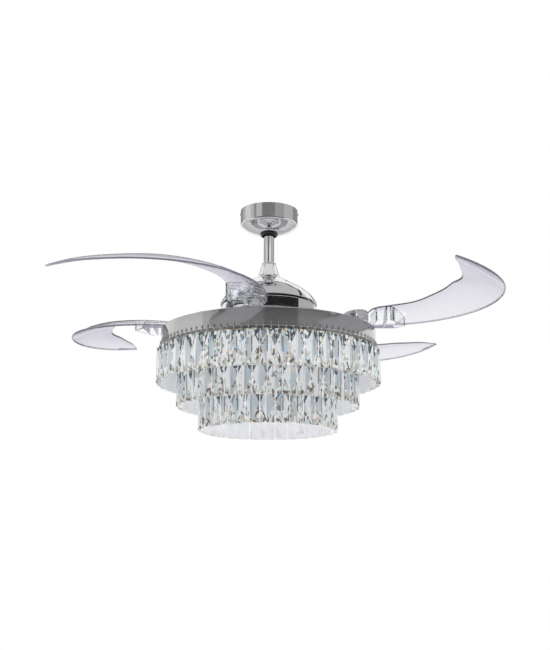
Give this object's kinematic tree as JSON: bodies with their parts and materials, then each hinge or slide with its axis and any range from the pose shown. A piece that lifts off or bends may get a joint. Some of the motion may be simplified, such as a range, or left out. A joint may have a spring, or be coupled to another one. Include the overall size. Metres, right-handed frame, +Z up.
{
  "type": "retractable blade ceiling fan",
  "caption": "Chrome ceiling fan with clear curved blades that fold over a tiered crystal light kit when it stops, hung by a ball joint on a short rod.",
  "frame": {"origin": "centre of the hanger bracket's top face, which lies on the ceiling", "axes": "+Z up into the ceiling; +Y away from the viewer of the picture; +X to the right"},
  "size_m": [1.068, 1.068, 0.5639],
  "materials": {
    "canopy_chrome": "polished chrome plate",
    "screw_chrome": "polished chrome plate",
    "rod_chrome": "polished chrome plate",
    "cover_chrome": "polished chrome plate",
    "dome_chrome": "polished chrome plate",
    "housing_chrome": "polished chrome plate",
    "rail_chrome": "polished chrome plate",
    "band_steel": "polished steel",
    "zinc_steel": "zinc plate",
    "cast_grey": "grey casting",
    "lamination": "varnished laminations",
    "copper_winding": "enamelled copper wire",
    "magnet": "bonded magnet",
    "black_trim": "gloss black",
    "black_nylon": "moulded nylon",
    "black_case": "moulded case",
    "nylon": "moulded nylon",
    "white_steel": "white powder coat",
    "white_case": "moulded case",
    "aluminium_plate": "mill finish",
    "led_board": "white solder mask",
    "opal": "opal diffuser",
    "crystal": "cut glass",
    "clear_blade": "clear moulded plastic",
    "spring_steel": "spring steel",
    "rubber": "moulded rubber"
  },
  "bodies": {
    "ceiling": {"hanger_bracket": "zinc_steel", "canopy": "canopy_chrome", "canopy_collar": "black_trim", "canopy_screw_right": "screw_chrome", "canopy_screw_left": "screw_chrome", "receiver": "black_case", "terminal_block": "nylon"},
    "stem": {"hanger_ball": "black_nylon", "ball_pin": "zinc_steel", "downrod": "rod_chrome", "coupling": "cast_grey", "clevis_pin": "zinc_steel", "coupling_cover": "cover_chrome", "dome": "dome_chrome", "motor_shaft": "zinc_steel", "stator_core": "lamination", "upper_winding": "copper_winding", "lower_winding": "copper_winding", "pan_nut_upper": "zinc_steel", "pan_nut_lower": "zinc_steel", "light_pan": "white_steel", "band": "band_steel", "rail_frame": "white_steel", "middle_rail": "rail_chrome", "inner_rail": "rail_chrome", "led_driver": "white_case", "lamp_plate": "aluminium_plate", "led_board": "led_board", "diffuser": "opal", "outer_crystals": "crystal", "middle_crystals": "crystal", "inner_crystals": "crystal"},
    "rotor": {"rotor_housing_upper": "housing_chrome", "rotor_housing_lower": "housing_chrome", "magnet_ring": "magnet", "upper_bearing": "zinc_steel", "lower_bearing": "zinc_steel", "blade_carrier": "aluminium_plate", "torsion_spring_1": "spring_steel", "torsion_spring_2": "spring_steel", "torsion_spring_3": "spring_steel", "torsion_spring_4": "spring_steel"},
    "sync_ring": {"sync_ring": "nylon"},
    "blade_1": {"blade_1": "clear_blade", "blade_hub_1": "nylon", "pivot_bolt_1": "zinc_steel", "stop_bumper_1": "rubber"},
    "blade_2": {"blade_2": "clear_blade", "blade_hub_2": "nylon", "pivot_bolt_2": "zinc_steel", "stop_bumper_2": "rubber"},
    "blade_3": {"blade_3": "clear_blade", "blade_hub_3": "nylon", "pivot_bolt_3": "zinc_steel", "stop_bumper_3": "rubber"},
    "blade_4": {"blade_4": "clear_blade", "blade_hub_4": "nylon", "pivot_bolt_4": "zinc_steel", "stop_bumper_4": "rubber"}
  },
  "joints": [
    {"name": "ball_tilt", "type": "hinge", "parent": "ceiling", "child": "stem", "pos_m": [0, 0, -0.02117], "axis": [1, 0, 0], "range_deg": [-5, 5]},
    {"name": "rotor_spin", "type": "hinge", "parent": "stem", "child": "rotor", "pos_m": [0, 0, -0.277], "axis": [0, 0, 1], "continuous": true},
    {"name": "blade_1_swing", "type": "hinge", "parent": "rotor", "child": "blade_1", "pos_m": [-0.0461, -0.21143, -0.3], "axis": [0, 0, 1], "range_deg": [-122, 0], "stiffness_Nm_per_rad": 0.2, "springref_deg": -143.24},
    {"name": "blade_2_swing", "type": "hinge", "parent": "rotor", "child": "blade_2", "pos_m": [0.21143, -0.0461, -0.3], "axis": [0, 0, 1], "range_deg": [-122, 0], "stiffness_Nm_per_rad": 0.2, "springref_deg": -143.24},
    {"name": "blade_3_swing", "type": "hinge", "parent": "rotor", "child": "blade_3", "pos_m": [0.0461, 0.21143, -0.3], "axis": [0, 0, 1], "range_deg": [-122, 0], "stiffness_Nm_per_rad": 0.2, "springref_deg": -143.24},
    {"name": "blade_4_swing", "type": "hinge", "parent": "rotor", "child": "blade_4", "pos_m": [-0.21143, 0.0461, -0.3], "axis": [0, 0, 1], "range_deg": [-122, 0], "stiffness_Nm_per_rad": 0.2, "springref_deg": -143.24},
    {"name": "sync_ring_turn", "type": "hinge", "parent": "rotor", "child": "sync_ring", "pos_m": [0, 0, -0.323], "axis": [0, 0, 1], "range_deg": [0, 24.4]}
  ],
  "couplings": [
    {"joint": "blade_2_swing", "follows": "blade_1_swing", "ratio": 1},
    {"joint": "blade_3_swing", "follows": "blade_1_swing", "ratio": 1},
    {"joint": "blade_4_swing", "follows": "blade_1_swing", "ratio": 1},
    {"joint": "sync_ring_turn", "follows": "blade_1_swing", "ratio": -0.2}
  ]
}
